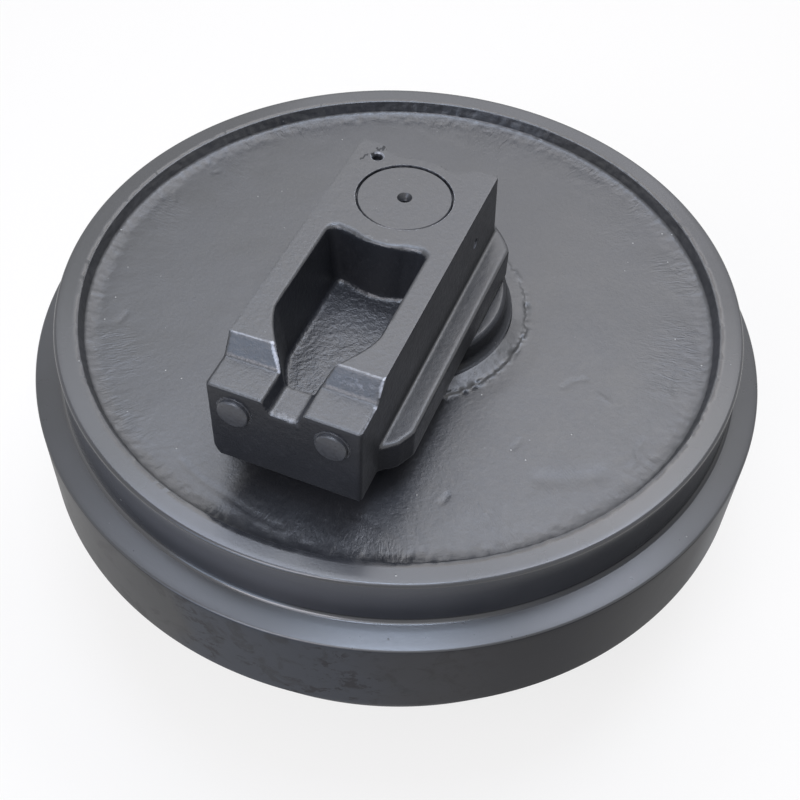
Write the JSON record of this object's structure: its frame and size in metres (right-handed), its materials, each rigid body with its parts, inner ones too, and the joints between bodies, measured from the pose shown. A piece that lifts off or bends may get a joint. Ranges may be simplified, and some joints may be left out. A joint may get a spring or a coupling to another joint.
{
  "type": "excavator front idler",
  "caption": "Front idler of an excavator track: a cast wheel with a centre flange that turns on a fixed shaft between bolt-on support brackets, on flanged bushes with face seals.",
  "frame": {"origin": "centre of the wheel, on the wheel axis in the mid-plane of its flange", "axes": "+Z along the wheel axis out of the upper bracket, -Y along the brackets towards the yoke, +X to the lock pins' side"},
  "size_m": [0.58, 0.58, 0.37],
  "materials": {
    "wheel_paint": "satin dark grey paint on a cast and turned wheel",
    "bracket_paint": "satin dark grey paint on a casting",
    "shaft_steel": "ground, its ends painted over",
    "pin_steel": "plain",
    "bush_bronze": "turned bronze",
    "seal_iron": "lapped",
    "seal_rubber": "matt black",
    "plug_plastic": "black moulded plastic"
  },
  "bodies": {
    "support": {"shaft": "shaft_steel", "bracket_lower": "bracket_paint", "bracket_upper": "bracket_paint", "lock_pin_lower": "pin_steel", "lock_pin_upper": "pin_steel", "oil_plug": "pin_steel", "rubber_ring_lower_fixed": "seal_rubber", "rubber_ring_upper_fixed": "seal_rubber", "seal_ring_lower_fixed": "seal_iron", "seal_ring_upper_fixed": "seal_iron", "shaft_ring_lower": "seal_rubber", "shaft_ring_upper": "seal_rubber", "yoke_plug_lower_left": "plug_plastic", "yoke_plug_lower_right": "plug_plastic", "yoke_plug_upper_left": "plug_plastic", "yoke_plug_upper_right": "plug_plastic"},
    "wheel": {"idler_wheel": "wheel_paint", "bush_upper": "bush_bronze", "seal_ring_upper_running": "seal_iron", "rubber_ring_upper_running": "seal_rubber", "bush_lower": "bush_bronze", "seal_ring_lower_running": "seal_iron", "rubber_ring_lower_running": "seal_rubber"}
  },
  "joints": [
    {"name": "wheel_spin", "type": "hinge", "parent": "support", "child": "wheel", "pos_m": [0, 0, 0], "axis": [0, 0, 1], "continuous": true}
  ]
}
